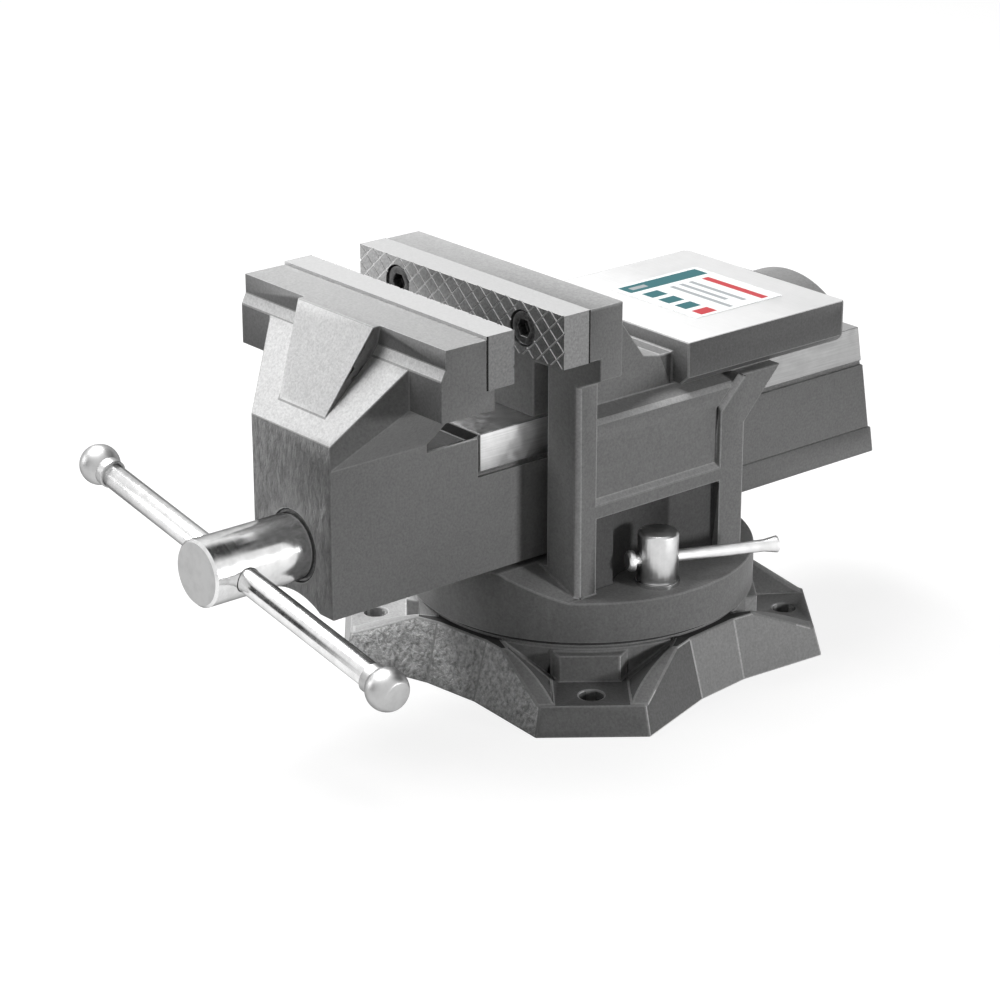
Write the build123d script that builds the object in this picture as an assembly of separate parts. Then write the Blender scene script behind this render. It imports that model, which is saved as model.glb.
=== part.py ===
from build123d import *
import math
import os

# Swivel bench vise, in millimetres.
# The origin is on the bench under the swivel axis. +Z is up, -Y points at the handle
# end and +X is the right-hand side as seen from the handle.

# Shared allowances
overrun = 2.0            # a cutting shape runs this far past the face that it opens
running_gap = 0.05       # radial room of a shaft in its bore
sliding_gap = 0.3        # room between faces that slide or turn on each other
seat_gap = 0.02          # radial room of a pin, screw or ring pressed into its seat

# Jaws
jaw_width = 150.0
plate_height = 25.3
plate_thickness = 15.8
jaw_opening = 29.2       # as the vise stands
fixed_face_lead = 77.8   # fixed gripping face ahead of the swivel axis
plate_proud = 1.5        # moving plate above the casting behind it
groove_pitch = 10.0      # crosshatch, along the jaw
groove_width = 0.9
groove_depth = 0.5
groove_angle = 42.0

# Jaw screws
jaw_screw_spread = 92.0
jaw_screw_shank = 10.0
jaw_screw_head = 16.0
jaw_screw_head_height = 10.0
jaw_screw_socket = 8.0
jaw_screw_socket_depth = 5.0
jaw_screw_reach = 9.0    # into the casting
counterbore_width = 17.6
counterbore_depth = 10.8
screw_hole_room = 0.5    # radial room of the shank in its plate

# Heights, from the bench up
base_height = 33.3
swivel_gap = 0.3
disc_thickness = 20.5
plinth_rise = 10.9       # floor under the slide, above the disc
slide_lift = 2.05        # slide above that floor
slide_height = 69.85
jaw_rise = 66.2          # jaw top above the slide
anvil_rise = 29.2        # anvil above the slide
spindle_rise = 27.95     # spindle axis above the slide's lower edge

disc_under = base_height + swivel_gap
disc_top = disc_under + disc_thickness
floor_top = disc_top + plinth_rise
slide_under = floor_top + slide_lift
slide_top = slide_under + slide_height
jaw_top = slide_top + jaw_rise
anvil_top = slide_top + anvil_rise
spindle_z = slide_under + spindle_rise
plate_under = jaw_top - plate_height
plate_middle = jaw_top - plate_height / 2

fixed_face = -fixed_face_lead
fixed_seat = fixed_face + plate_thickness
moving_face = fixed_face - jaw_opening
moving_seat = moving_face - plate_thickness

# Swivel base
lug_count = 4
lug_turn = -38.39        # first lug, from +X
lug_reach = 118.7
lug_half = 27.0
valley_far = 77.5        # skirt corner between two lugs, along and across the lug
valley_near = 55.0
base_draft = 15.5
lug_top = 14.7
crest_start = 75.0       # where the crest starts to fall towards the lug
crest_set_in = 5.7       # lower end of that fall, in from the lug's end
core_radius = 82.6
pocket_half = 18.3       # pocket floor
pocket_near = 72.0
mouth_far_half = 29.4    # pocket's mouth, at the lug's end and under the disc
mouth_near_half = 46.9
boss_half = 14.5
boss_flank = 4.5
boss_stand = 4.5         # boss ahead of the core
boss_height = 13.0
bench_hole_set_in = 16.2 # hole's middle, in from the lug's end
bench_bolt_hole = 12.0
base_hollow_radius = 50.0
base_hub_radius = 24.0
head_well_radius = 16.0
base_roof = 13.0
rim_groove = 3.4         # dark line under the disc

# Pivot bolt
pivot_shank = 16.0
pivot_head_flats = 24.0
pivot_head_height = 10.0
pivot_floor = 12.5       # body left under the pivot washer
pivot_washer_width = 32.0
pivot_washer_thickness = 2.5
pivot_nut_height = 11.0
pivot_end = 2.0          # bolt past its nut
pivot_pocket_room = 5.0  # round the washer

# Lock bolts and their ring slot
lock_side = 67.5         # bolt axis from the middle plane
lock_lead = 10.5         # bolt axis ahead of the swivel axis
lock_shank = 12.0
lock_head = 19.8
lock_head_height = 24.8
lock_head_bevel = 1.2
lock_washer_width = 21.5
lock_washer_thickness = 1.8
lock_bar_rise = 12.5     # bar above the disc
lock_bar_width = 6.0
lock_bar_long = 61.0     # ends of the bar, from the bolt's axis
lock_bar_short = 15.8
lock_bar_travel = 5.0    # slide of the bar towards its short end
lock_bar_flare = 8.4
lock_bar_button = 10.2
lock_bar_button_length = 3.5
lock_bar_button_bevel = 1.0
lock_bar_flare_length = 7.0
lock_bar_turn = 67.0     # bar's direction, from +X
slot_neck = 13.0
slot_lip = 6.0
slot_width = 21.6
slot_height = 9.0
t_nut_radial = 19.6
t_nut_along = 20.0
t_nut_height = 8.0
t_nut_entry = 1.0        # room round the nut at its entry

# Rear body
disc_radius = 85.7
frame_half = 59.7        # over the side frames
core_half = 38.0         # opening between the side walls
apron_half = 31.0        # raised floor ahead of the side frames
apron_foot_half = 60.0   # where its slopes meet the disc
front_lead = 55.3
front_post = 12.1
frame_bevel = 2.0
rear_post_back = 54.0
rear_post = 17.5
flare_back = 76.0        # rear post, where it runs out under the anvil
flare_start = 23.4       # below the anvil's underside
recess_depth = 3.0
lower_recess_depth = 4.3
recess_slope = 2.0
lower_bar_rise = 37.9    # above the disc
lower_bar_height = 9.0
upper_bar_rise = 76.4
upper_bar_face = 8.0
upper_bar_set_in = 1.2
shoulder_bevel = 2.4     # upper bar's bright edge
shoulder_bevel_rise = 2.1
shoulder_rise = 4.3      # ledge at the web, above the bar's face
slant_bevel = 2.5        # rear post's slanting edge
web_half = 46.0
jaw_casting = 19.8       # behind the fixed plate
jaw_end_depth = 35.7
jaw_end_fall = 7.0
gusset_drop = 4.0        # gusset below the jaw's top
gusset_knee = -17.5      # where the gusset turns down to the valley
gusset_knee_drop = 20.8
gusset_foot = -2.0
valley_drop = 6.9        # valley floor below the anvil's top
anvil_half = 57.4
anvil_front = 16.2
anvil_length = 106.5
anvil_side = 17.4
anvil_thickness = 22.1
anvil_bevel = 5.4
hood_half = 31.0
hood_length = 19.0
hood_drop = 1.0
hood_fall = 10.4
land_lead = 38.0         # guide lands start this far ahead of the axis
relief_height = 28.0     # front slots beside the slide, above the slide's top
brow_half = 28.0         # wall between those slots
label_long = 58.5
label_wide = 63.0
label_thickness = 0.2
label_middle = 74.8

# Moving jaw and its slide
bar_thickness = 23.2
bar_height = 33.6
bar_step = 2.5
bar_face = 9.2
bar_bevel = 5.0
bar_ledge = 4.5
neck_reach = 28.0        # front block ahead of the bar
neck_half = 52.0
neck_root = 4.6          # neck's side at the block, below the block's top
block_rise = 14.1        # block's top front edge above the slide
slide_half = 29.9
shoulder_proud = 2.6     # cast slide edge ahead of the rails, above the rails
neck_back_top = 10.8     # neck's rear wall behind the plate seat, at the bar
neck_back_foot = 1.8
rib_top_half = 28.5
rib_foot_half = 17.5
rib_foot_rise = 9.0      # where the rib grows out of the neck, above the block
rib_proud = 3.5
slide_length = 339.2
slide_slant = 12.2
slide_wall = 7.5
slide_roof = 10.0
slide_front_wall = 16.5
rail_start = 87.5        # behind the block's face
rail_depth = 18.9
rail_set_in = 1.0
rail_groove = 2.0
rail_dip = 1.4           # cast top between the neck and the rails
dip_depth = 6.0          # pocket in that top
dip_wall = 2.4
rim_height = 14.0
rim_proud = 1.5
rim_length = 114.0
arch_half = 20.0
arch_rise = 5.5

# Spindle and what is on it
spindle_head = 32.0
spindle_nose = 53.5      # head ahead of the block
spindle_bevel = 1.6
spindle_journal = 28.0
spindle_thread = 26.0
spindle_length = 340.0
spindle_end_bevel = 2.0
head_seat_width = 35.4
head_seat_depth = 3.0
thrust_washer_width = 34.0
thrust_washer_thickness = 1.9
handle_set_back = 17.3   # bar's axis behind the head's front
spring_washer_width = 36.0
spring_washer_thickness = 2.0
spring_wire = 3.0
spring_pitch = 5.0
spring_turns = 4
spring_width = 36.0      # over the coil
collar_width = 38.0
collar_length = 12.0
collar_pin_width = 5.0
spindle_nut_half = 20.0
spindle_nut_top = 19.0   # above the spindle's axis
spindle_nut_front = 57.0
spindle_nut_length = 40.0
spindle_nut_bevel = 9.0
nut_bolt_width = 10.0
nut_bolt_head = 16.0
nut_bolt_head_height = 8.0
nut_bolt_bore = 19.4
nut_bolt_cover = 2.0     # disc below the bolt's head
nut_bolt_reach = 18.0
nut_bolt_spread = 21.4

# Handle
handle_width = 12.0
handle_left = 105.2      # knob centres, from the spindle's axis
handle_right = 118.0
handle_tilt = 10.05      # right end lower
handle_gap = 0.25        # radial room of the bar in the spindle's head
knob_width = 19.6
knob_flat = 13.5
knob_neck = 14.0
knob_neck_proud = 1.5    # past the ball

lock_radius = math.hypot(lock_side, lock_lead)
block_face = moving_seat - bar_thickness - bar_step - neck_reach
bar_front = moving_seat - bar_thickness
bar_low_front = bar_front - bar_step
moving_top = jaw_top - plate_proud
bar_under = moving_top - bar_height
block_top = slide_top + block_rise
anvil_under = anvil_top - anvil_thickness
anvil_back = anvil_front + anvil_length
handle_y = block_face - spindle_nose + handle_set_back
head_shoulder = block_face + head_seat_depth - thrust_washer_thickness
wall_back = block_face + slide_front_wall


def middle(span):
    return (span[0] + span[1]) / 2


def extent(span):
    return span[1] - span[0]


def block(x_span, y_span, z_span):
    box = Box(extent(x_span), extent(y_span), extent(z_span))
    return Pos(middle(x_span), middle(y_span), middle(z_span)) * box


def both(half):
    return (-half, half)


def outline(points):
    return make_face(Polyline(*points, close=True))


def prism_x(points, x_span):
    plane = Plane(origin=(x_span[0], 0, 0), x_dir=(0, 1, 0), z_dir=(1, 0, 0))
    return extrude(plane * outline(points), amount=extent(x_span))


def prism_y(points, y_span):
    plane = Plane(origin=(0, y_span[1], 0), x_dir=(1, 0, 0), z_dir=(0, -1, 0))
    return extrude(plane * outline(points), amount=extent(y_span))


def prism_z(points, z_span):
    return extrude(Plane.XY.offset(z_span[0]) * outline(points), amount=extent(z_span))


def rod_z(width, z_span, x=0, y=0):
    return Pos(x, y, middle(z_span)) * Cylinder(width / 2, extent(z_span))


def rod_y(width, y_span, x=0, z=0):
    return Pos(x, middle(y_span), z) * Rot(90, 0, 0) * Cylinder(width / 2, extent(y_span))


def rod_x(width, x_span, y=0, z=0):
    return Pos(middle(x_span), y, z) * Rot(0, 90, 0) * Cylinder(width / 2, extent(x_span))


def ring_z(outer, inner, z_span, x=0, y=0):
    bore = (z_span[0] - overrun, z_span[1] + overrun)
    return rod_z(outer, z_span, x, y) - rod_z(inner, bore, x, y)


def ring_y(outer, inner, y_span, z=0):
    bore = (y_span[0] - overrun, y_span[1] + overrun)
    return rod_y(outer, y_span, 0, z) - rod_y(inner, bore, 0, z)


def hexagon_z(flats, z_span, x=0, y=0):
    plane = Plane.XY.offset(z_span[0])
    hexagon = RegularPolygon(flats / 2, 6, major_radius=False)
    return Pos(x, y, 0) * extrude(plane * hexagon, amount=extent(z_span))


def mirrored(shape):
    return mirror(shape, about=Plane.YZ)


def polar(radius, angle):
    return (radius * math.cos(math.radians(angle)), radius * math.sin(math.radians(angle)))


def lug_turns():
    return [lug_turn + 360 * number / lug_count for number in range(lug_count)]


def skirt_outline():
    corners = []
    for turn in lug_turns():
        for along, across in (
            (lug_reach, -lug_half),
            (lug_reach, lug_half),
            (valley_far, valley_near),
            (valley_near, valley_far),
        ):
            far = math.hypot(along, across)
            corners.append(polar(far, turn + math.degrees(math.atan2(across, along))))
    return corners


def inset_corners(corners, inset):
    moved = []
    for number, here in enumerate(corners):
        before = corners[number - 1]
        after = corners[(number + 1) % len(corners)]
        arriving = (Vector(*here) - Vector(*before)).normalized()
        leaving = (Vector(*after) - Vector(*here)).normalized()
        mitre = inset / (1 + arriving.dot(leaving))
        moved.append((here[0] - (arriving.Y + leaving.Y) * mitre,
                      here[1] + (arriving.X + leaving.X) * mitre))
    return moved


def skirt_block():
    corners = skirt_outline()
    crown = inset_corners(corners, base_height * math.tan(math.radians(base_draft)))
    return loft([outline(corners), Plane.XY.offset(base_height) * outline(crown)], ruled=True)


def lug_roof_cut():
    profile = [
        (crest_start, base_height),
        (lug_reach - crest_set_in, lug_top),
        (lug_reach + overrun, lug_top),
        (lug_reach + overrun, base_height + overrun),
        (crest_start, base_height + overrun),
    ]
    return prism_y(profile, both(lug_reach))


def lug_pocket_cut():
    far = lug_reach + overrun
    floor = [
        (pocket_near, -pocket_half),
        (far, -pocket_half),
        (far, pocket_half),
        (pocket_near, pocket_half),
    ]
    mouth = [
        (pocket_near, -mouth_near_half),
        (far, -mouth_far_half),
        (far, mouth_far_half),
        (pocket_near, mouth_near_half),
    ]
    low = Plane.XY.offset(lug_top) * outline(floor)
    high = Plane.XY.offset(base_height) * outline(mouth)
    return loft([low, high], ruled=True)


def lug_boss():
    flank = boss_half + boss_flank
    root = math.sqrt(core_radius ** 2 - flank ** 2)
    face = core_radius + boss_stand
    plan = [
        (root - overrun, -flank),
        (face, -boss_half),
        (face, boss_half),
        (root - overrun, flank),
    ]
    return prism_z(plan, (lug_top - overrun, lug_top + boss_height))


def ring_slot_cut():
    lip_under = base_height - slot_lip
    neck = ring_z(2 * lock_radius + slot_neck, 2 * lock_radius - slot_neck,
                  (lip_under - overrun, base_height + overrun))
    room = (lip_under - slot_height, lip_under)
    wide = ring_z(2 * lock_radius + slot_width, 2 * lock_radius - slot_width, room)
    entry_half = t_nut_along / 2 + t_nut_entry
    entry = block(both(entry_half), (lock_radius - slot_width / 2, lock_radius + slot_width / 2),
                  (room[0], base_height + overrun))
    return [neck, wide, entry]


def swivel_base():
    skirt = skirt_block()
    for turn in lug_turns():
        skirt = skirt - Rot(0, 0, turn) * lug_roof_cut() - Rot(0, 0, turn) * lug_pocket_cut()
    base = skirt + rod_z(2 * core_radius, (0, base_height))
    for turn in lug_turns():
        hole_x, hole_y = polar(lug_reach - bench_hole_set_in, turn)
        base = base + Rot(0, 0, turn) * lug_boss()
        base = base - rod_z(bench_bolt_hole, (-overrun, base_height), hole_x, hole_y)
    base = base - ring_slot_cut()
    hollow = (-overrun, base_height - base_roof)
    base = base - ring_z(2 * base_hollow_radius, 2 * base_hub_radius, hollow)
    base = base - rod_z(2 * head_well_radius, hollow)
    base = base - rod_z(pivot_shank + 2 * seat_gap, (0, base_height + overrun))
    rim = (base_height - rim_groove, base_height + overrun)
    return base - ring_z(2 * lug_reach, 2 * core_radius - rim_groove, rim)


def pivot_levels():
    washer_under = disc_under + pivot_floor + sliding_gap
    nut_under = washer_under + pivot_washer_thickness
    return washer_under, nut_under, nut_under + pivot_nut_height


def pivot_bolt():
    head_top = base_height - base_roof
    nut_top = pivot_levels()[2]
    head = hexagon_z(pivot_head_flats, (head_top - pivot_head_height, head_top))
    return head + rod_z(pivot_shank, (head_top - overrun, nut_top + pivot_end))


def pivot_washer():
    washer_under, nut_under, nut_top = pivot_levels()
    return ring_z(pivot_washer_width, pivot_shank + 2 * seat_gap, (washer_under, nut_under))


def pivot_nut():
    washer_under, nut_under, nut_top = pivot_levels()
    bore = (nut_under - overrun, nut_top + overrun)
    return hexagon_z(pivot_head_flats, (nut_under, nut_top)) - rod_z(pivot_shank + 2 * seat_gap, bore)


def side_recesses():
    outside = frame_half + overrun
    lower_bar = disc_top + lower_bar_rise
    upper_bar = disc_top + upper_bar_rise
    panel = frame_half - recess_depth
    run = (-front_lead + front_post, rear_post_back - rear_post)
    lower = block((frame_half - lower_recess_depth, outside), run, (disc_top, lower_bar))
    swing = math.hypot(lock_bar_short + lock_bar_travel, lock_bar_button / 2) + sliding_gap
    relief = rod_z(2 * swing, (disc_top, lower_bar), lock_side, -lock_lead)
    slope_foot = lower_bar + lower_bar_height - recess_slope
    upper = prism_y([
        (outside, slope_foot),
        (frame_half, slope_foot),
        (panel, lower_bar + lower_bar_height),
        (panel, upper_bar),
        (outside, upper_bar),
    ], run)
    return lower, relief, upper


def shoulder_cut():
    outside = frame_half + overrun
    upper_bar = disc_top + upper_bar_rise
    face = frame_half - upper_bar_set_in
    face_top = upper_bar + upper_bar_face
    lift = anvil_top + overrun
    start = -front_lead + front_post
    inner_slant = rear_post_back - rear_post
    section = prism_y([
        (outside, upper_bar),
        (face, upper_bar),
        (face, face_top),
        (face - shoulder_bevel, face_top + shoulder_bevel_rise),
        (web_half, face_top + shoulder_rise),
        (web_half, lift),
        (outside, lift),
    ], (start, flare_back))
    side = prism_x([
        (start, upper_bar),
        (inner_slant, upper_bar),
        (inner_slant + lift - upper_bar, lift),
        (start, lift),
    ], (0, outside))
    return section & side


def slant_bevel_cut():
    upper_bar = disc_top + upper_bar_rise
    start = (frame_half, rear_post_back - rear_post - overrun, upper_bar - overrun)
    plane = Plane(origin=start, x_dir=(1, 0, 0), z_dir=(0, 1, 1))
    wedge = [(-slant_bevel, 0), (0, slant_bevel), (overrun, slant_bevel), (overrun, 0)]
    climb = anvil_under - upper_bar + overrun
    return extrude(plane * outline(wedge), amount=math.hypot(climb, climb))


def housing():
    flare_foot = anvil_under - flare_start
    post_top = jaw_top - jaw_end_depth - jaw_end_fall
    profile = [
        (-front_lead, disc_top - overrun),
        (-front_lead, post_top),
        (-front_lead + front_post, post_top),
        (-front_lead + front_post, anvil_under),
        (flare_back, anvil_under),
        (rear_post_back, flare_foot),
        (rear_post_back, disc_top - overrun),
    ]
    shell = prism_x(profile, both(frame_half))
    uprights = shell.edges().filter_by(Axis.Z).group_by(Axis.Y)
    shell = chamfer(uprights[0] + uprights[-1], frame_bevel)
    for cut in (*side_recesses(), shoulder_cut(), slant_bevel_cut()):
        shell = shell - cut - mirrored(cut)
    return shell


def jaw_support():
    jaw_back = fixed_seat + jaw_casting
    end_under = jaw_top - jaw_end_depth
    corner = end_under - jaw_end_fall
    section = [
        (-jaw_width / 2, jaw_top),
        (-jaw_width / 2, end_under),
        (-frame_half, corner),
        (frame_half, corner),
        (jaw_width / 2, end_under),
        (jaw_width / 2, jaw_top),
    ]
    beam = prism_y(section, (fixed_seat, jaw_back))
    below_plate = block(both(jaw_width), (fixed_seat - overrun, -front_lead), (0, plate_under))
    return beam - below_plate


def web():
    valley = anvil_top - valley_drop
    profile = [
        (-front_lead, slide_top),
        (-front_lead, jaw_top - jaw_end_depth),
        (fixed_seat + jaw_casting - overrun, jaw_top - gusset_drop),
        (fixed_seat + jaw_casting, jaw_top - gusset_drop),
        (gusset_knee, jaw_top - gusset_knee_drop),
        (gusset_foot, valley + overrun),
        (anvil_front / 2, valley),
        (anvil_front + overrun, valley),
        (flare_back, anvil_under + overrun),
        (flare_back, slide_top),
    ]
    return prism_x(profile, both(web_half))


def anvil():
    side_under = anvil_top - anvil_side
    section = [
        (-anvil_half, anvil_top),
        (-anvil_half, side_under),
        (-anvil_half + anvil_bevel, anvil_under),
        (anvil_half - anvil_bevel, anvil_under),
        (anvil_half, side_under),
        (anvil_half, anvil_top),
    ]
    slab = prism_y(section, (anvil_front, anvil_back))
    rear_edges = slab.faces().sort_by(Axis.Y)[-1].edges().filter_by(Axis.Z)
    return chamfer(rear_edges, anvil_bevel / 3)


def hood():
    apex = anvil_top - hood_drop
    spring_line = apex - hood_fall
    crown = ThreePointArc((-hood_half, spring_line), (0, apex), (hood_half, spring_line))
    sides = Polyline((hood_half, spring_line), (hood_half, anvil_under), (-hood_half, anvil_under),
                     (-hood_half, spring_line))
    plane = Plane(origin=(0, anvil_back + hood_length, 0), x_dir=(1, 0, 0), z_dir=(0, -1, 0))
    return extrude(plane * make_face([crown, sides]), amount=hood_length + anvil_bevel)


def slide_tunnel():
    rail_under = slide_top - rail_depth - sliding_gap
    rail_half = slide_half - rail_set_in + sliding_gap
    through = (-fixed_face_lead, anvil_back + hood_length + overrun)
    wide = block(both(core_half), (-disc_radius, rear_post_back + overrun), (floor_top, rail_under))
    throat = block(both(rail_half), through, (rail_under - overrun, slide_top + sliding_gap))
    slot = block((brow_half, core_half), (-fixed_face_lead, -land_lead),
                 (rail_under - overrun, slide_top + relief_height))
    return [wide, throat, slot, mirrored(slot)]


def apron():
    foot = disc_top - overrun
    profile = [
        (-apron_foot_half, foot),
        (-apron_foot_half, disc_top),
        (-apron_half, floor_top),
        (apron_half, floor_top),
        (apron_foot_half, disc_top),
        (apron_foot_half, foot),
    ]
    ramp = prism_y(profile, (-disc_radius, -front_lead + overrun))
    return ramp & rod_z(2 * disc_radius, (foot, slide_top))


def rear_body():
    disc = rod_z(2 * disc_radius, (disc_under, disc_top))
    body = disc + apron() + housing() + web() + jaw_support() + anvil() + hood()
    body = body - slide_tunnel()
    washer_under = pivot_levels()[0] - sliding_gap
    pocket_width = pivot_washer_width + 2 * pivot_pocket_room
    body = body - rod_z(pocket_width, (washer_under, slide_top))
    body = body - rod_z(pivot_shank + 2 * running_gap, (0, slide_top))
    for side in (-lock_side, lock_side):
        hole = (disc_under - overrun, disc_top + overrun)
        body = body - rod_z(lock_shank + 2 * running_gap, hole, side, -lock_lead)
    for place in nut_bolt_places():
        head_top = disc_under + nut_bolt_cover + nut_bolt_head_height
        body = body - rod_z(nut_bolt_bore, (0, head_top), 0, place)
        body = body - rod_z(nut_bolt_width + 2 * seat_gap, (0, floor_top + overrun), 0, place)
    for side in jaw_screw_sides():
        hole = (fixed_seat - overrun, fixed_seat + jaw_screw_reach)
        body = body - rod_y(jaw_screw_shank + 2 * seat_gap, hole, side, plate_middle)
    return body


def jaw_screw_sides():
    return (-jaw_screw_spread / 2, jaw_screw_spread / 2)


def crosshatch(face):
    steepness = math.tan(math.radians(groove_angle))
    lean = plate_height / steepness
    length = 2 * math.hypot(plate_height, lean)
    count = math.ceil((jaw_width + lean) / groove_pitch / 2)
    grooves = []
    for number in range(-count, count + 1):
        for lay in (-groove_angle, groove_angle):
            bar = Box(length, 2 * groove_depth, groove_width)
            grooves.append(Pos(number * groove_pitch, face, plate_middle) * Rot(0, lay, 0) * bar)
    return grooves


def jaw_plate(face, back):
    inward = math.copysign(1, back - face)
    plate = block(both(jaw_width / 2), sorted((face, back)), (plate_under, jaw_top))
    plate = plate - crosshatch(face)
    for side in jaw_screw_sides():
        bore = sorted((face - inward * overrun, face + inward * counterbore_depth))
        plate = plate - rod_y(counterbore_width, bore, side, plate_middle)
        hole = sorted((face, back + inward * overrun))
        plate = plate - rod_y(jaw_screw_shank + 2 * screw_hole_room, hole, side, plate_middle)
    return plate


def jaw_screws(face, back):
    inward = math.copysign(1, back - face)
    head_seat = face + inward * counterbore_depth
    head_top = head_seat - inward * jaw_screw_head_height
    screws = []
    for side in jaw_screw_sides():
        head = rod_y(jaw_screw_head, sorted((head_top, head_seat)), side, plate_middle)
        shank_end = back + inward * (jaw_screw_reach - overrun / 2)
        shank = rod_y(jaw_screw_shank, sorted((head_seat, shank_end)), side, plate_middle)
        plane = Plane(origin=(side, head_top, plate_middle), x_dir=(1, 0, 0), z_dir=(0, inward, 0))
        hexagon = RegularPolygon(jaw_screw_socket / 2, 6, major_radius=False)
        socket = extrude(plane * hexagon, amount=jaw_screw_socket_depth)
        screws.append(head + shank - socket)
    return Compound(children=screws)


def nut_bolt_places():
    centre = -spindle_nut_front + spindle_nut_length / 2
    return (centre - nut_bolt_spread / 2, centre + nut_bolt_spread / 2)


def spindle_nut():
    top = spindle_z + spindle_nut_top
    section = [
        (-spindle_nut_half, floor_top),
        (spindle_nut_half, floor_top),
        (spindle_nut_half, top - spindle_nut_bevel),
        (spindle_nut_half - spindle_nut_bevel, top),
        (-spindle_nut_half + spindle_nut_bevel, top),
        (-spindle_nut_half, top - spindle_nut_bevel),
    ]
    span = (-spindle_nut_front, -spindle_nut_front + spindle_nut_length)
    nut = prism_y(section, span)
    bore = (span[0] - overrun, span[1] + overrun)
    nut = nut - rod_y(spindle_thread + 2 * running_gap, bore, 0, spindle_z)
    for place in nut_bolt_places():
        hole = (floor_top - overrun, floor_top + nut_bolt_reach)
        nut = nut - rod_z(nut_bolt_width + 2 * seat_gap, hole, 0, place)
    return nut


def nut_bolts():
    head_under = disc_under + nut_bolt_cover
    head_top = head_under + nut_bolt_head_height
    bolts = []
    for place in nut_bolt_places():
        head = hexagon_z(nut_bolt_head, (head_under, head_top), 0, place)
        shank_end = floor_top + nut_bolt_reach - overrun
        bolts.append(head + rod_z(nut_bolt_width, (head_top, shank_end), 0, place))
    return Compound(children=bolts)


def anvil_label():
    run = (label_middle - label_long / 2, label_middle + label_long / 2)
    return block(both(label_wide / 2), run, (anvil_top, anvil_top + label_thickness))


def slide():
    end_top = block_face + slide_length
    profile = [
        (block_face, slide_under),
        (end_top + slide_slant, slide_under),
        (end_top, slide_top),
        (block_face, slide_top),
    ]
    bar = prism_x(profile, both(slide_half))
    rim_start = end_top - rim_length
    rim_slant = slide_slant * rim_height / slide_height
    rim = prism_x([
        (rim_start, slide_under),
        (end_top + slide_slant, slide_under),
        (end_top + slide_slant - rim_slant, slide_under + rim_height),
        (rim_start, slide_under + rim_height),
    ], both(slide_half + rim_proud))
    return bar + rim


def rail_cuts():
    start = block_face + rail_start
    end = block_face + slide_length + slide_slant + overrun
    rail_under = slide_top - rail_depth
    groove_under = rail_under - rail_groove
    lift = slide_top + overrun
    outside = slide_half + overrun
    side = block((slide_half - rail_set_in, outside), (start, end), (rail_under, lift))
    deep = slide_half - 2 * rail_set_in
    under = block((deep, outside), (start, end), (groove_under, rail_under))
    front = block((deep, outside), (start - rail_groove, start), (groove_under, lift))
    dip = block(both(outside), (moving_seat, start), (slide_top - rail_dip, lift))
    pocket = block(both(slide_half - dip_wall), (moving_seat + neck_back_foot, start),
                   (slide_top - dip_depth, lift))
    return [side, mirrored(side), under, mirrored(under), front, mirrored(front), dip, pocket]


def neck():
    root = block_top - neck_root
    foot = slide_top + shoulder_proud
    upper_near = Plane(origin=(0, block_face, 0), x_dir=(1, 0, 0), z_dir=(0, -1, 0))
    upper_far = Plane(origin=(0, bar_low_front, 0), x_dir=(1, 0, 0), z_dir=(0, -1, 0))
    low_half = slide_half
    band_top = moving_top - bar_face - bar_bevel
    near = [(-low_half, foot), (low_half, foot), (low_half, block_top), (-low_half, block_top)]
    far = [(-neck_half, bar_under), (neck_half, bar_under), (neck_half, band_top), (-neck_half, band_top)]
    slope = loft([upper_near * outline(near), upper_far * outline(far)], ruled=True)
    back_top = moving_seat + neck_back_top
    back_foot = moving_seat + neck_back_foot
    low = [(-low_half, block_face), (low_half, block_face), (low_half, back_foot), (-low_half, back_foot)]
    high = [(-neck_half, bar_low_front), (neck_half, bar_low_front), (neck_half, back_top),
            (-neck_half, back_top)]
    pillar = loft([Plane.XY.offset(foot) * outline(low), Plane.XY.offset(bar_under) * outline(high)],
                  ruled=True)
    step = block(both(low_half), (block_face, back_foot), (slide_top - overrun, foot))
    return slope + pillar + step


def neck_rib():
    back = bar_front + bar_step
    slope_top = moving_top - bar_face - bar_bevel
    slope_share = rib_foot_rise / (slope_top - block_top)
    foot_front = block_face + slope_share * (bar_low_front - block_face)
    top = [(-rib_top_half, bar_front - rib_proud), (rib_top_half, bar_front - rib_proud),
           (rib_top_half, back), (-rib_top_half, back)]
    foot = [(-rib_foot_half, foot_front), (rib_foot_half, foot_front), (rib_foot_half, back),
            (-rib_foot_half, back)]
    low = Plane.XY.offset(block_top + rib_foot_rise) * outline(foot)
    high = Plane.XY.offset(moving_top) * outline(top)
    return loft([low, high], ruled=True)


def jaw_bar():
    face_under = moving_top - bar_face
    profile = [
        (moving_seat + bar_ledge, bar_under),
        (bar_low_front, bar_under),
        (bar_low_front, face_under - bar_bevel),
        (bar_front, face_under),
        (bar_front, moving_top),
        (moving_seat, moving_top),
        (moving_seat, plate_under),
        (moving_seat + bar_ledge, plate_under),
    ]
    return prism_x(profile, both(jaw_width / 2))


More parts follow.
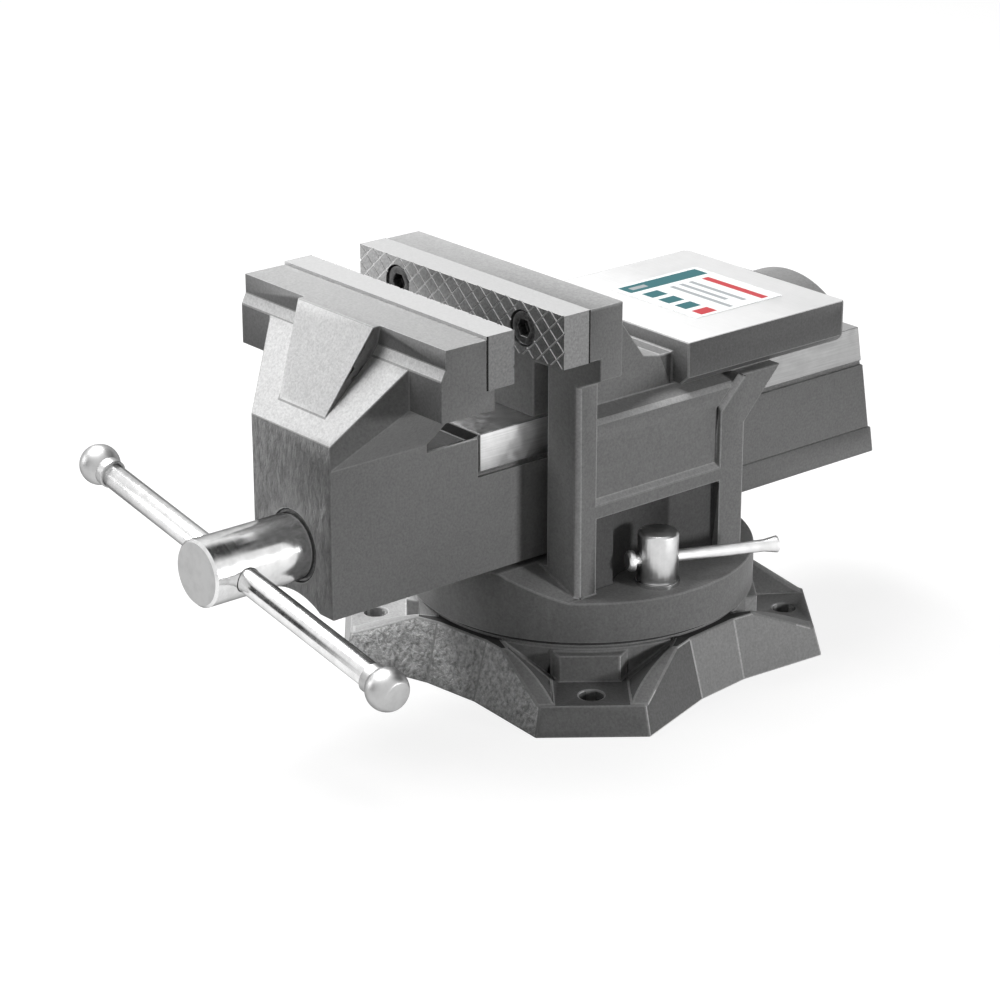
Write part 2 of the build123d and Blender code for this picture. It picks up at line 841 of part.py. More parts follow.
def front_jaw():
    jaw = slide() - rail_cuts() + neck() + neck_rib() + jaw_bar()
    inner_half = slide_half - slide_wall
    hollow_end = block_face + slide_length + slide_slant + overrun
    jaw = jaw - block(both(inner_half), (wall_back, hollow_end), (0, slide_top - slide_roof))
    through = (block_face - overrun, wall_back + overrun)
    jaw = jaw - rod_y(spindle_journal + 2 * running_gap, through, 0, spindle_z)
    jaw = jaw - rod_y(head_seat_width, (block_face - overrun, block_face + head_seat_depth), 0, spindle_z)
    arch = ThreePointArc((-arch_half, slide_under), (0, slide_under + arch_rise), (arch_half, slide_under))
    sill = Polyline((arch_half, slide_under), (arch_half, slide_under - overrun),
                    (-arch_half, slide_under - overrun), (-arch_half, slide_under))
    plane = Plane(origin=(0, through[1], 0), x_dir=(1, 0, 0), z_dir=(0, -1, 0))
    jaw = jaw - extrude(plane * make_face([arch, sill]), amount=extent(through))
    for side in jaw_screw_sides():
        hole = (moving_seat - jaw_screw_reach, moving_seat + overrun)
        jaw = jaw - rod_y(jaw_screw_shank + 2 * seat_gap, hole, side, plate_middle)
    return jaw


def handle_frame():
    return Pos(0, handle_y, spindle_z) * Rot(0, handle_tilt, 0)


def spindle():
    nose = block_face - spindle_nose
    head = rod_y(spindle_head, (nose, head_shoulder), 0, spindle_z)
    head = chamfer(head.faces().sort_by(Axis.Y)[0].edges(), spindle_bevel)
    journal = rod_y(spindle_journal, (head_shoulder, wall_back + sliding_gap), 0, spindle_z)
    screw = rod_y(spindle_thread, (wall_back + sliding_gap, nose + spindle_length), 0, spindle_z)
    screw = chamfer(screw.faces().sort_by(Axis.Y)[-1].edges(), spindle_end_bevel)
    cross = handle_frame() * rod_x(handle_width + 2 * handle_gap, both(spindle_head))
    pin = rod_z(collar_pin_width + 2 * seat_gap, both(spindle_head))
    return head + journal + screw - cross - Pos(0, middle(collar_span()), spindle_z) * pin


def thrust_washer():
    span = (head_shoulder + seat_gap, block_face + head_seat_depth - seat_gap)
    return ring_y(thrust_washer_width, spindle_journal + 2 * seat_gap, span, spindle_z)


def spring_span():
    start = wall_back + sliding_gap + spring_washer_thickness
    return (start, start + spring_turns * spring_pitch + spring_wire)


def collar_span():
    start = spring_span()[1]
    return (start, start + collar_length)


def spring_washer():
    span = (wall_back + sliding_gap, spring_span()[0])
    return ring_y(spring_washer_width, spindle_thread + 2 * seat_gap, span, spindle_z)


def spindle_spring():
    coil_radius = (spring_width - spring_wire) / 2
    path = Helix(spring_pitch, spring_turns * spring_pitch, coil_radius)
    section = Plane(origin=path @ 0, z_dir=path % 0) * Circle(spring_wire / 2)
    coil = sweep(section, path=path)
    start = spring_span()[0] + spring_wire / 2
    return Pos(0, start, spindle_z) * Rot(-90, 0, 0) * coil


def retaining_collar():
    collar = ring_y(collar_width, spindle_thread + 2 * seat_gap, collar_span(), spindle_z)
    pin = rod_z(collar_pin_width + 2 * seat_gap, both(collar_width))
    return collar - Pos(0, middle(collar_span()), spindle_z) * pin


def collar_pin():
    pin = rod_z(collar_pin_width, both(collar_width / 2 - seat_gap))
    return Pos(0, middle(collar_span()), spindle_z) * pin


def handle_bar():
    return handle_frame() * rod_x(handle_width, (-handle_left, handle_right))


def handle_knob(centre, outward):
    drop = math.sqrt((knob_width / 2) ** 2 - (knob_flat / 2) ** 2)
    ball = Pos(centre, 0, 0) * Sphere(knob_width / 2)
    neck_start = centre - outward * (knob_width / 2 + knob_neck_proud)
    ball = ball + rod_x(knob_neck, sorted((neck_start, centre)))
    far = centre + outward * knob_width
    ball = ball - block(sorted((centre + outward * drop, far)), both(knob_width), both(knob_width))
    bore = rod_x(handle_width + 2 * seat_gap, sorted((centre - outward * knob_width, centre)))
    return handle_frame() * (ball - bore)


def lock_place():
    return Pos(lock_side, -lock_lead, disc_top)


def lock_washer():
    bore = lock_shank + 2 * running_gap
    return lock_place() * ring_z(lock_washer_width, bore, (0, lock_washer_thickness))


def lock_bolt():
    seat = lock_washer_thickness + seat_gap
    head = rod_z(lock_head, (seat, seat + lock_head_height))
    head = chamfer(head.faces().sort_by(Axis.Z)[-1].edges(), lock_head_bevel)
    lip_under = base_height - slot_lip
    shank_end = lip_under - slot_height + sliding_gap - disc_top
    shank = rod_z(lock_shank, (shank_end, seat))
    cross = rod_x(lock_bar_width + 2 * handle_gap, both(lock_head), 0, lock_bar_rise)
    return lock_place() * (head + shank - Rot(0, 0, lock_bar_turn) * cross)


def lock_bar():
    stem = rod_x(lock_bar_width, (-lock_bar_short, lock_bar_long))
    button = rod_x(lock_bar_button, (-lock_bar_short, -lock_bar_short + lock_bar_button_length))
    button = chamfer(button.faces().sort_by(Axis.X)[0].edges(), lock_bar_button_bevel)
    flare_start = lock_bar_long - lock_bar_flare_length
    narrow = Plane(origin=(flare_start, 0, 0), z_dir=(1, 0, 0)) * Circle(lock_bar_width / 2)
    wide = Plane(origin=(lock_bar_long, 0, 0), z_dir=(1, 0, 0)) * Circle(lock_bar_flare / 2)
    bar = stem + button + loft([narrow, wide], ruled=True)
    return lock_place() * Pos(0, 0, lock_bar_rise) * Rot(0, 0, lock_bar_turn) * bar


def lock_t_nut():
    nut_top = base_height - slot_lip - sliding_gap
    turn = -math.degrees(math.atan2(lock_lead, lock_side))
    nut = Rot(0, 0, turn) * Box(t_nut_radial, t_nut_along, t_nut_height)
    nut = Pos(lock_side, -lock_lead, nut_top - t_nut_height / 2) * nut
    bore = (nut_top - t_nut_height - overrun, nut_top + overrun)
    return nut - rod_z(lock_shank + 2 * running_gap, bore, lock_side, -lock_lead)


def all_parts():
    pieces = {
        "swivel_base": swivel_base(),
        "pivot_bolt": pivot_bolt(),
        "pivot_washer": pivot_washer(),
        "pivot_nut": pivot_nut(),
        "rear_body": rear_body(),
        "fixed_jaw_plate": jaw_plate(fixed_face, fixed_seat),
        "fixed_jaw_screws": jaw_screws(fixed_face, fixed_seat),
        "spindle_nut": spindle_nut(),
        "nut_bolts": nut_bolts(),
        "anvil_label": anvil_label(),
        "front_jaw": front_jaw(),
        "moving_jaw_plate": jaw_plate(moving_face, moving_seat),
        "moving_jaw_screws": jaw_screws(moving_face, moving_seat),
        "spindle": spindle(),
        "thrust_washer": thrust_washer(),
        "spring_washer": spring_washer(),
        "spindle_spring": spindle_spring(),
        "retaining_collar": retaining_collar(),
        "collar_pin": collar_pin(),
        "handle_bar": handle_bar(),
        "handle_knob_left": handle_knob(-handle_left, -1),
        "handle_knob_right": handle_knob(handle_right, 1),
    }
    for name, make in (
        ("lock_bolt", lock_bolt),
        ("lock_bar", lock_bar),
        ("lock_washer", lock_washer),
        ("lock_t_nut", lock_t_nut),
    ):
        right = make()
        pieces[name + "_right"] = right
        pieces[name + "_left"] = mirrored(right)
    return pieces


os.makedirs("parts", exist_ok=True)
for node, shape in all_parts().items():
    export_step(shape, os.path.join("parts", node + ".step"))
    print(node, round(shape.volume))
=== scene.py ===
import bpy
import math
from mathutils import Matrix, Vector
from mathutils.bvhtree import BVHTree


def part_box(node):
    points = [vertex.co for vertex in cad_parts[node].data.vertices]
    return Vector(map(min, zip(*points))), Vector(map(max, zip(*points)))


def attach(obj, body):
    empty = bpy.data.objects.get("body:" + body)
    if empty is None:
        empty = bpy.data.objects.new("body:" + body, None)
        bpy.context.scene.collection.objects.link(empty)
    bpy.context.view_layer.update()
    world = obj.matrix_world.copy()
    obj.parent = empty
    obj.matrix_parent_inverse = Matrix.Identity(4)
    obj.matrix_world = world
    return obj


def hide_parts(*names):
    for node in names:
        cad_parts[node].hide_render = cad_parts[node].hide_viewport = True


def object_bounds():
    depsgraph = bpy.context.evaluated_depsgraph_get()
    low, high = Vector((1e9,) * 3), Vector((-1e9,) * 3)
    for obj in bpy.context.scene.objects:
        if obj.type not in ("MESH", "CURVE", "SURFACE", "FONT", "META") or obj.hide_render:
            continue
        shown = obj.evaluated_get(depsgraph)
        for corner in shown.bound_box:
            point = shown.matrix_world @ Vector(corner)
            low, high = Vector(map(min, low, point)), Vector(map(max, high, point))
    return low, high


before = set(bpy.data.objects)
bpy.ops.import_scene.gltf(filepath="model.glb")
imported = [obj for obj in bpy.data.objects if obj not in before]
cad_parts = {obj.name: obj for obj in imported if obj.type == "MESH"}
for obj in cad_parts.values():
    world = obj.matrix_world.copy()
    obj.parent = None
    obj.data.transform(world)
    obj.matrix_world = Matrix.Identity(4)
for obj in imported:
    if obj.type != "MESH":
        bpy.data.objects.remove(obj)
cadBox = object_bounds()
mm = 0.001
uprightBelow = 0.5  # a face is upright while its normal rises less than this
squareOn = 0.9  # a face looks along an axis when its normal follows it this far
print("frame loaded:", len(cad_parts), "nodes")


# small helpers for selecting and editing
def between(value, span):
    return span[0] < value < span[1]


def deselectAll():
    bpy.ops.object.select_all(action="DESELECT")


def makeActive(piece):
    deselectAll()
    piece.select_set(True)
    bpy.context.view_layer.objects.active = piece


def openEdit(piece):
    makeActive(piece)
    bpy.ops.object.mode_set(mode="EDIT")
    bpy.ops.mesh.select_all(action="SELECT")


def closeEdit():
    bpy.ops.object.mode_set(mode="OBJECT")


def applyModifier(piece, modifier):
    makeActive(piece)
    bpy.ops.object.modifier_apply(modifier=modifier.name)


def placePiece(piece, location, rotation=(0, 0, 0)):
    piece.location = location
    piece.rotation_euler = rotation
    makeActive(piece)
    bpy.ops.object.transform_apply(location=True, rotation=True, scale=True)


def smoothByAngle(piece, degrees):
    makeActive(piece)
    bpy.ops.object.shade_smooth_by_angle(angle=math.radians(degrees))


def recalcNormals(piece):
    openEdit(piece)
    bpy.ops.mesh.normals_make_consistent(inside=False)
    closeEdit()


# camera, at the photograph's viewing angle
photoView = {
    "eye": (1072.88, -950.56, 628.43),
    "target": (-6.33, -47.24, 83.4),
    "lens": 111.73,
    "sensor": 36.0,
    "farClip": 20.0,
}


def placeCamera():
    eye = Vector(photoView["eye"]) * mm
    target = Vector(photoView["target"]) * mm
    bpy.ops.object.camera_add(location=eye)
    camera = bpy.context.object
    camera.name = "photoCamera"
    camera.rotation_mode = "QUATERNION"
    camera.rotation_quaternion = (target - eye).to_track_quat("-Z", "Y")
    camera.data.lens = photoView["lens"]
    camera.data.sensor_width = photoView["sensor"]
    camera.data.clip_end = photoView["farClip"]
    bpy.context.scene.camera = camera


# material building
noisePlaces = (0.3, 0.7)  # where a noise passes from its first colour to its last


def startMaterial(name):
    material = bpy.data.materials.new(name)
    material.use_nodes = True
    shader = material.node_tree.nodes["Principled BSDF"]
    return material, shader


def addNode(tree, kind, **inputs):
    node = tree.nodes.new(kind)
    for key, value in inputs.items():
        node.inputs[key].default_value = value
    return node


def linkShader(tree, shader, sources):
    for key, source in sources.items():
        tree.links.new(source, shader.inputs[key])


def objectCoords(tree, stretch=(1, 1, 1), turn=(0, 0, 0)):
    coords = tree.nodes.new("ShaderNodeTexCoord")
    mapping = addNode(tree, "ShaderNodeMapping", Scale=stretch, Rotation=turn)
    tree.links.new(coords.outputs["Object"], mapping.inputs["Vector"])
    return mapping.outputs["Vector"]


def addNoise(tree, vector, scale, detail=3.0, roughness=0.55):
    noise = addNode(tree, "ShaderNodeTexNoise", Scale=scale, Detail=detail, Roughness=roughness)
    tree.links.new(vector, noise.inputs["Vector"])
    return noise.outputs["Fac"]


# from one grey or colour to another
def addRamp(tree, source, first, last, places=noisePlaces):
    ramp = tree.nodes.new("ShaderNodeValToRGB")
    for element, place, colour in zip(ramp.color_ramp.elements, places, (first, last)):
        element.position = place
        element.color = (*colour, 1) if isinstance(colour, tuple) else (colour, colour, colour, 1)
    tree.links.new(source, ramp.inputs["Fac"])
    return ramp.outputs["Color"]


def addMath(tree, operation, *values):
    node = tree.nodes.new("ShaderNodeMath")
    node.operation = operation
    for socket, value in zip(node.inputs, values):
        if isinstance(value, (int, float)):
            socket.default_value = value
        else:
            tree.links.new(value, socket)
    return node.outputs[0]


def addBump(tree, height, distance, strength, below=None):
    bump = addNode(tree, "ShaderNodeBump", Strength=strength, Distance=distance)
    tree.links.new(height, bump.inputs["Height"])
    if below is not None:
        tree.links.new(below, bump.inputs["Normal"])
    return bump.outputs["Normal"]


def shareNoises(tree, first, second, share):
    return addMath(tree, "MULTIPLY_ADD", first, share, addMath(tree, "MULTIPLY", second, 1 - share))


def mixColours(tree, factor, first, second):
    mix = tree.nodes.new("ShaderNodeMix")
    mix.data_type = "RGBA"
    tree.links.new(factor, mix.inputs["Factor"])
    for key, colour in (("A", first), ("B", second)):
        if isinstance(colour, tuple):
            mix.inputs[key].default_value = colour
        else:
            tree.links.new(colour, mix.inputs[key])
    return mix.outputs["Result"]


# grey paint over sand-cast iron
castPaint = {
    "dark": 0.285,
    "light": 0.375,
    "colourPlaces": (0.36, 0.64),
    "roughness": (0.4, 0.54),
    "gloss": 0.12,
    "grainPerMetre": 800,
    "grainHeight": 0.3,
    "grainShare": 0.8,
    "lumpsPerMetre": 190,
    "lumpHeight": 0.7,
}


def makeCastPaint(name, tone=1.0, grainStrength=0.35, lumpStrength=0.12, coarse=1.0, speckle=0.0,
                  stretch=(1, 1, 1), turn=(0, 0, 0)):
    material, shader = startMaterial(name)
    tree = material.node_tree
    lumps = addNoise(tree, objectCoords(tree), castPaint["lumpsPerMetre"], detail=4.0)
    grainScale = castPaint["grainPerMetre"] / math.sqrt(coarse)
    grain = addNoise(tree, objectCoords(tree, stretch, turn), grainScale, roughness=0.65)
    mottle = shareNoises(tree, grain, lumps, castPaint["grainShare"])
    dark = castPaint["dark"] * tone * (1 - speckle)
    light = castPaint["light"] * tone * (1 + speckle)
    colour = addRamp(tree, mottle, dark, light, castPaint["colourPlaces"])
    roughness = addRamp(tree, lumps, *castPaint["roughness"])
    swell = addBump(tree, lumps, castPaint["lumpHeight"] * mm, lumpStrength)
    normal = addBump(tree, grain, castPaint["grainHeight"] * coarse * mm, grainStrength, swell)
    linkShader(tree, shader, {"Base Color": colour, "Roughness": roughness, "Normal": normal})
    shader.inputs["Specular IOR Level"].default_value = castPaint["gloss"]
    return material


# steel finishes: ground flats, turned and polished rods, blackened screws
groundSteel = {
    "middle": 0.71,
    "spread": 0.09,
    "colourPlaces": (0.35, 0.65),
    "roughness": 0.36,
    "roughSwing": 0.08,
    "linesPerMetre": 1600,
    "lineStretch": 0.02,
    "lineShare": 0.6,
    "lineHeight": 0.02,
    "lineStrength": 0.4,
}


def makeGroundSteel(name, tone=1.0, alongX=True, evenness=1.0):
    material, shader = startMaterial(name)
    tree = material.node_tree
    short = groundSteel["lineStretch"]
    drawn = objectCoords(tree, (short, 1, 1) if alongX else (1, short, 1))
    lines = addNoise(tree, drawn, groundSteel["linesPerMetre"], detail=2.0)
    blotches = addNoise(tree, objectCoords(tree), castPaint["lumpsPerMetre"])
    mixed = shareNoises(tree, lines, blotches, groundSteel["lineShare"])
    spread = groundSteel["spread"] / evenness
    dark = (groundSteel["middle"] - spread) * tone
    light = (groundSteel["middle"] + spread) * tone
    colour = addRamp(tree, mixed, dark, light, groundSteel["colourPlaces"])
    swing = groundSteel["roughSwing"] / evenness
    roughness = addRamp(tree, blotches, groundSteel["roughness"] - swing, groundSteel["roughness"] + swing)
    normal = addBump(tree, lines, groundSteel["lineHeight"] * mm, groundSteel["lineStrength"])
    linkShader(tree, shader, {"Base Color": colour, "Roughness": roughness, "Normal": normal})
    shader.inputs["Metallic"].default_value = 1.0
    return material


polishedSteel = {
    "dark": 0.74,
    "light": 0.86,
    "stainPlaces": (0.3, 0.6),
    "roughness": 0.13,
    "roughSwing": (-0.05, 0.07),
    "roughPlaces": (0.1, 0.45),
    "ringsPerMetre": 1800,
    "ringStretch": 0.03,
    "ringHeight": 0.01,
    "ringStrength": 0.15,
    "rimTint": 0.25,
}


def makePolishedSteel(name, axis=(0, 1, 0), tone=1.0, rougher=0.0):
    material, shader = startMaterial(name)
    tree = material.node_tree
    stretch = [1 if part else polishedSteel["ringStretch"] for part in axis]
    rings = addNoise(tree, objectCoords(tree, stretch), polishedSteel["ringsPerMetre"], detail=2.0)
    stains = addNoise(tree, objectCoords(tree), castPaint["lumpsPerMetre"], detail=4.0)
    dark = polishedSteel["dark"] * tone
    light = polishedSteel["light"] * tone
    colour = addRamp(tree, stains, dark, light, polishedSteel["stainPlaces"])
    smooth, rough = (polishedSteel["roughness"] + rougher + swing for swing in polishedSteel["roughSwing"])
    darkerRear = addMath(tree, "MULTIPLY", rings, stains)
    roughness = addRamp(tree, darkerRear, smooth, rough, polishedSteel["roughPlaces"])
    normal = addBump(tree, rings, polishedSteel["ringHeight"] * mm, polishedSteel["ringStrength"])
    linkShader(tree, shader, {"Base Color": colour, "Roughness": roughness, "Normal": normal})
    shader.inputs["Metallic"].default_value = 1.0
    shader.inputs["Specular Tint"].default_value = (polishedSteel["rimTint"],) * 3 + (1,)
    return material


blackSteel = {
    "dark": 0.025,
    "light": 0.06,
    "colourPlaces": (0.35, 0.65),
    "roughness": (0.3, 0.48),
    "metal": 0.8,
    "mottleHeight": 0.05,
    "mottleStrength": 0.2,
}


def makeBlackSteel(name, tone=1.0):
    material, shader = startMaterial(name)
    tree = material.node_tree
    mottle = addNoise(tree, objectCoords(tree), castPaint["grainPerMetre"])
    dark = blackSteel["dark"] * tone
    light = blackSteel["light"] * tone
    colour = addRamp(tree, mottle, dark, light, blackSteel["colourPlaces"])
    roughness = addRamp(tree, mottle, *blackSteel["roughness"])
    normal = addBump(tree, mottle, blackSteel["mottleHeight"] * mm, blackSteel["mottleStrength"])
    linkShader(tree, shader, {"Base Color": colour, "Roughness": roughness, "Normal": normal})
    shader.inputs["Metallic"].default_value = blackSteel["metal"]
    return material


# crosshatched gripping face: grey diamonds between bright cut lines, and a painted shadow along the seam
# behind the plate
knurl = {
    "diamond": (0.264, 0.429),
    "cut": (0.612, 0.72),
    "top": (0.513, 0.57),
    "seamShadow": (0.01, 0.02),
    "fixedEnd": (0.16, 0.24),
    # painted shade: the moving plate's end is 0.8 times as light as the fixed plate's
    "movingShadedEnd": (0.128, 0.192),
    "cutDepth": 0.5,
    "faceBand": 0.1,
    "endBand": 0.2,
    "seamShadowWidth": 0.9,
    "grainHeight": 0.06,
    "grainStrength": 0.3,
}


def makeKnurledSteel(name, face, inward, thickness, halfWidth, endTones):
    material, shader = startMaterial(name)
    tree = material.node_tree
    coords = tree.nodes.new("ShaderNodeTexCoord")
    split = tree.nodes.new("ShaderNodeSeparateXYZ")
    tree.links.new(coords.outputs["Object"], split.inputs["Vector"])
    depth = addMath(tree, "MULTIPLY", addMath(tree, "SUBTRACT", split.outputs["Y"], face), inward / mm)
    onFace = addMath(tree, "LESS_THAN", depth, knurl["faceBand"])
    inCut = addMath(tree, "LESS_THAN", depth, knurl["cutDepth"] + knurl["faceBand"])
    # painted shadow: on the plate's ends, the last 0.9 mm before the back is near black
    inSeamShadow = addMath(tree, "GREATER_THAN", depth, thickness / mm - knurl["seamShadowWidth"])
    across = addMath(tree, "ABSOLUTE", split.outputs["X"])
    atEnd = addMath(tree, "GREATER_THAN", across, halfWidth - knurl["endBand"] * mm)
    grain = addNoise(tree, objectCoords(tree), castPaint["grainPerMetre"])
    tones = (knurl["diamond"], knurl["cut"], knurl["top"], knurl["seamShadow"], endTones)
    diamond, cut, top, seamShadow, end = (addRamp(tree, grain, *pair) for pair in tones)
    outer = mixColours(tree, onFace, mixColours(tree, inCut, top, cut), diamond)
    colour = mixColours(tree, atEnd, outer, mixColours(tree, inSeamShadow, end, seamShadow))
    normal = addBump(tree, grain, knurl["grainHeight"] * mm, knurl["grainStrength"])
    linkShader(tree, shader, {"Base Color": colour, "Normal": normal})
    shader.inputs["Metallic"].default_value = 1.0
    shader.inputs["Roughness"].default_value = groundSteel["roughness"]
    return material


printInk = {"fade": 0.93, "roughness": 0.35, "speckleHeight": 0.02, "speckleStrength": 0.2}


def makeInk(name, colour):
    material, shader = startMaterial(name)
    tree = material.node_tree
    speckle = addNoise(tree, objectCoords(tree), castPaint["grainPerMetre"], detail=2.0)
    faded = tuple(part * printInk["fade"] for part in colour)
    speckled = addRamp(tree, speckle, faded, colour)
    normal = addBump(tree, speckle, printInk["speckleHeight"] * mm, printInk["speckleStrength"])
    linkShader(tree, shader, {"Base Color": speckled, "Normal": normal})
    shader.inputs["Roughness"].default_value = printInk["roughness"]
    shader.inputs["Specular IOR Level"].default_value = castPaint["gloss"]
    return material


# studio: white floor, key softbox from the upper left, low lamps from the left and right, soft surround
# each dark flag has its direction and where it starts and ends, as cosines
studio = {
    "floorSize": 8.0,
    "floorGrey": 0.2,
    "floorRoughness": 0.9,
    "floorGlow": 0.86,
    "ambient": 0.035,
    "keySize": 1.2,
    "keyTowards": (-0.45, -0.1, 0.88),
    "keyWatts": 55.0,
    "kickerSize": 0.6,
    "kickerTowards": (-0.75, -0.62, 0.2),
    "kickerWatts": 5.0,
    "fillSize": 0.22,
    "fillTowards": (0.93, 0.34, 0.14),
    "fillWatts": 10.0,
    "lampDistance": 1.8,
    "flags": [((0.12, 0.72, 0.68), (0.84, 0.94)), ((-0.55, -0.8, 0.2), (0.9, 0.97))],
    "flagLevel": 0.02,
}


# seen by the camera, or in metal and glass
def seenDirectly(tree):
    path = tree.nodes.new("ShaderNodeLightPath")
    shiny = addMath(tree, "MAXIMUM", path.outputs["Is Glossy Ray"], path.outputs["Is Transmission Ray"])
    return addMath(tree, "MAXIMUM", path.outputs["Is Camera Ray"], shiny)


def makeFloor():
    deselectAll()
    bpy.ops.mesh.primitive_plane_add(size=studio["floorSize"])
    floor = bpy.context.object
    floor.name = "studioFloor"
    material, shader = startMaterial("floorWhite")
    tree = material.node_tree
    shader.inputs["Base Color"].default_value = (studio["floorGrey"],) * 3 + (1,)
    shader.inputs["Roughness"].default_value = studio["floorRoughness"]
    shader.inputs["Specular IOR Level"].default_value = 0.0
    shader.inputs["Emission Color"].default_value = (1, 1, 1, 1)
    glow = addMath(tree, "MULTIPLY", seenDirectly(tree), studio["floorGlow"])
    linkShader(tree, shader, {"Emission Strength": glow})
    floor.data.materials.append(material)


# white to the camera, white with dark flags in the metal, and dim as light
def makeWorld():
    world = bpy.data.worlds.new("studioWorld")
    bpy.context.scene.world = world
    world.use_nodes = True
    tree = world.node_tree
    coords = tree.nodes.new("ShaderNodeTexCoord")
    path = tree.nodes.new("ShaderNodeLightPath")
    surround = 1.0
    for towards, edges in studio["flags"]:
        near = tree.nodes.new("ShaderNodeVectorMath")
        near.operation = "DOT_PRODUCT"
        near.inputs[1].default_value = Vector(towards).normalized()
        tree.links.new(coords.outputs["Generated"], near.inputs[0])
        flag = addRamp(tree, near.outputs["Value"], 1.0, studio["flagLevel"], edges)
        surround = addMath(tree, "MULTIPLY", flag, surround)
    white = mixColours(tree, path.outputs["Is Camera Ray"], surround, (1, 1, 1, 1))
    soft = mixColours(tree, seenDirectly(tree), (studio["ambient"],) * 3 + (1,), white)
    tree.links.new(soft, tree.nodes["Background"].inputs["Color"])


def addSoftbox(name, place, aim, size, watts):
    bpy.ops.object.light_add(type="AREA", location=place)
    lamp = bpy.context.object
    lamp.name = name
    lamp.data.size = size
    lamp.data.energy = watts
    lamp.rotation_mode = "QUATERNION"
    lamp.rotation_quaternion = (aim - place).to_track_quat("-Z", "Y")


def lightStudio():
    makeFloor()
    makeWorld()
    middle = (cadBox[0] + cadBox[1]) / 2
    for lamp in ("key", "kicker", "fill"):
        place = middle + Vector(studio[lamp + "Towards"]).normalized() * studio["lampDistance"]
        addSoftbox(lamp + "Softbox", place, middle, studio[lamp + "Size"], studio[lamp + "Watts"])
    bpy.context.scene.view_settings.view_transform = "Standard"


# castings: copies of the construction with rounded edges
castEdges = {"merge": 0.002, "edgeDegrees": 9.5, "segments": 2}


def copyNode(nodeName, pieceName):
    piece = bpy.data.objects.new(pieceName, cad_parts[nodeName].data.copy())
    bpy.context.scene.collection.objects.link(piece)
    piece.data.materials.clear()
    openEdit(piece)
    bpy.ops.mesh.remove_doubles(threshold=castEdges["merge"] * mm)
    closeEdit()
    return piece


def addFinishes(piece, finishes):
    for material in finishes.values():
        piece.data.materials.append(material)
    return {name: number for number, name in enumerate(finishes)}


# a narrow corner can throw a bevelled point far out: such a point goes back to the sharp shape
def pullSpikes(piece, sharp, reach):
    pulled = set()
    mesh = piece.data
    normals = [corner.vector.copy() for corner in mesh.corner_normals]
    for vertex in mesh.vertices:
        spot, _, _, gap = sharp.find_nearest(vertex.co)
        if gap > reach:
            vertex.co = spot
            pulled.add(vertex.index)
    mesh.update()
    for face in mesh.polygons:
        if pulled.intersection(face.vertices):
            for corner in face.loop_indices:
                normals[corner] = face.normal
    mesh.normals_split_custom_set(normals)
    print(piece.name, "rounded,", len(pulled), "points pulled back")


def roundEdges(piece, width, edgeMaterial=-1, edgeDegrees=castEdges["edgeDegrees"]):
    bevel = piece.modifiers.new("softEdges", "BEVEL")
    bevel.width = width * mm
    bevel.segments = castEdges["segments"]
    bevel.limit_method = "ANGLE"
    bevel.angle_limit = math.radians(edgeDegrees)
    bevel.use_clamp_overlap = False
    bevel.harden_normals = True
    bevel.material = edgeMaterial
    source = piece.data
    sharp = BVHTree.FromPolygons([vertex.co for vertex in source.vertices],
                                 [face.vertices for face in source.polygons])
    makeActive(piece)
    bpy.ops.object.shade_smooth()
    applyModifier(piece, bevel)
    pullSpikes(piece, sharp, width * mm)


def standFor(piece, nodeName, body):
    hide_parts(nodeName)
    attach(piece, body)


# facets are told by the way they face in plan, in degrees; the facets facing +x get painted light, and the
# next ones round painted shade
baseCasting = {
    "edge": 0.8,
    "grooveHeights": (29.8, 33.2),
    "ringRadius": 79.0,
    "frontLugTurn": -38.39,
    "pocketFrom": 72.0,
    "pocketHalf": 46.0,
    "pocketFloor": (14.0, 16.0),
    "wallFacing": -0.4,
    "bossRadius": 87.5,
    # the facets facing the front get coarse sand-cast grain with painted light
    "roughFacets": (-100.0, -66.0),
    "paleFacets": (-12.0, 12.0),
    "dullFacets": (12.0, 24.0),
    "creasedFacets": (-12.0, 24.0),
}


# painted shade on the floor and inner walls of the front lug's pocket, not on its boss
def frontPocket(centre, normal):
    turn = math.radians(baseCasting["frontLugTurn"])
    along = Vector((math.cos(turn), math.sin(turn), 0))
    across = Vector((-math.sin(turn), math.cos(turn), 0))
    out, aside = centre.dot(along), centre.dot(across)
    if out < baseCasting["pocketFrom"] or abs(aside) > baseCasting["pocketHalf"]:
        return None
    if centre.xy.length < baseCasting["bossRadius"]:
        return "plain"
    onFloor = normal.z > squareOn and between(centre.z, baseCasting["pocketFloor"])
    facesIn = normal.dot(across) * math.copysign(1, aside)
    return "pocket" if onFloor or facesIn < baseCasting["wallFacing"] else None


def facesPlan(normal, span):
    return abs(normal.z) < uprightBelow and between(math.degrees(math.atan2(normal.y, normal.x)), span)


def skirtFinish(normal):
    for name in ("rough", "pale", "dull"):
        if facesPlan(normal, baseCasting[name + "Facets"]):
            return name
    return "plain"


def makeBaseCasting(finishes):
    piece = copyNode("swivel_base", "baseCasting")
    slots = addFinishes(piece, finishes)
    for face in piece.data.polygons:
        centre = face.center / mm
        outside = centre.xy.length > baseCasting["ringRadius"]
        # painted shade: the groove under the disc takes near-black paint
        inGroove = outside and between(centre.z, baseCasting["grooveHeights"])
        finish = "groove" if inGroove else frontPocket(centre, face.normal) or skirtFinish(face.normal)
        face.material_index = slots[finish]
    roundEdges(piece, baseCasting["edge"], slots["edge"])
    # painted highlight: the rounded edges of the creases outside the boss, between facets facing +x, take
    # paint 2.4 times as light
    for face in piece.data.polygons:
        outside = face.center.xy.length > baseCasting["bossRadius"] * mm
        creased = outside and facesPlan(face.normal, baseCasting["creasedFacets"])
        if creased and face.material_index == slots["edge"]:
            face.material_index = slots["crease"]
    standFor(piece, "swivel_base", "base")


